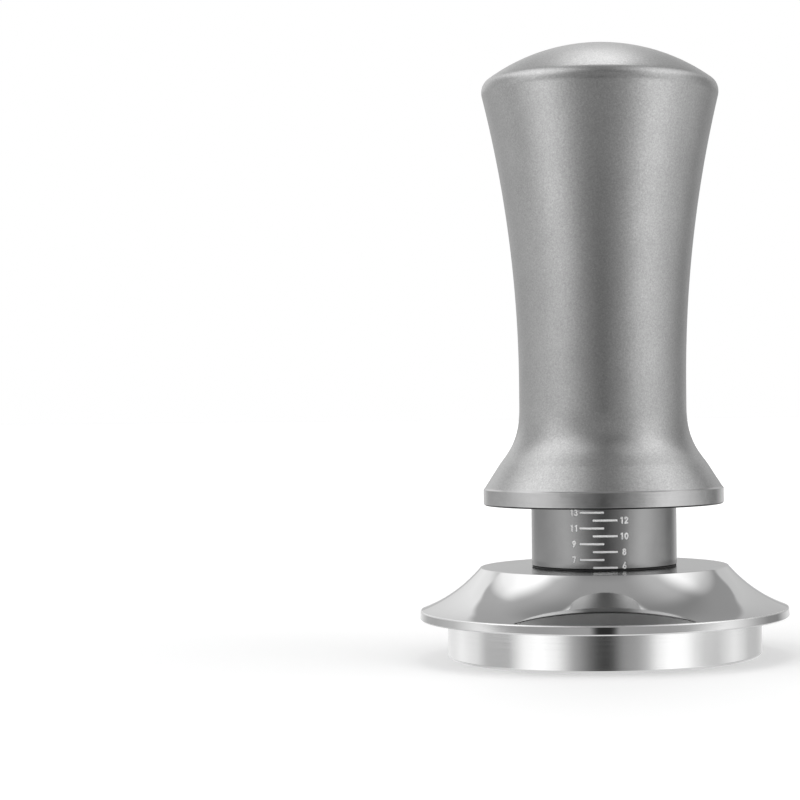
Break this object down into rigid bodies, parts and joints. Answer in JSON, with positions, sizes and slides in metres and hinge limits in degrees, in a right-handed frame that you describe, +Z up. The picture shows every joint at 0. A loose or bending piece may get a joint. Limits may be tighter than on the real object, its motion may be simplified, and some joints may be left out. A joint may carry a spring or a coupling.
{
  "type": "espresso tamper",
  "caption": "Hand tamper for ground coffee: domed flared metal handle on a sprung shaft, numbered depth sleeve, polished self-levelling brim that rests on the basket, flat round base.",
  "frame": {"origin": "centre of the base's flat bottom face, which presses the coffee", "axes": "+Z up the shaft towards the handle's dome; the depth scale's numbers face -Y; +X to the right of someone reading the scale"},
  "size_m": [0.0604, 0.0604, 0.1],
  "materials": {
    "blasted_aluminium": "bead-blasted, grey anodised",
    "satin_sleeve": "fine satin, grey, with paint-filled engraved marks",
    "polished_steel": "mirror-polished stainless steel",
    "turned_steel": "fine-turned stainless steel",
    "ground_steel": "ground",
    "zinc_steel": "zinc plated",
    "black_steel": "black oxide",
    "spring_steel": "drawn wire, lightly oiled",
    "turned_brass": "turned",
    "white_acetal": "machined",
    "black_acetal": "machined",
    "black_rubber": "matte moulded"
  },
  "bodies": {
    "base": {"tamper_base": "turned_steel", "centre_shaft": "ground_steel", "shaft_lock_washer": "zinc_steel", "brim_bumper_ring": "black_rubber", "return_spring": "spring_steel", "return_spring_washer": "zinc_steel", "shaft_circlip": "black_steel", "spring_collar": "zinc_steel", "collar_screw": "black_steel", "main_spring": "spring_steel"},
    "brim": {"levelling_brim": "polished_steel", "sleeve_gasket": "black_rubber", "scale_sleeve": "satin_sleeve", "brim_bush": "white_acetal"},
    "handle": {"handle_shell": "blasted_aluminium", "sleeve_guide_ring": "black_acetal", "guide_ring_circlip": "spring_steel", "guide_nut": "turned_brass", "handle_bush": "white_acetal", "stop_washer": "black_rubber", "upper_spring_seat": "zinc_steel"}
  },
  "joints": [
    {"name": "brim_slide", "type": "slide", "parent": "base", "child": "brim", "axis": [0, 0, 1], "range_m": [0, 0.0065], "stiffness_N_per_m": 320, "springref_m": -0.006, "deforming": ["return_spring"]},
    {"name": "handle_press", "type": "slide", "parent": "base", "child": "handle", "axis": [0, 0, -1], "range_m": [0, 0.0035], "stiffness_N_per_m": 12000, "springref_m": -0.0085, "deforming": ["main_spring"]}
  ]
}
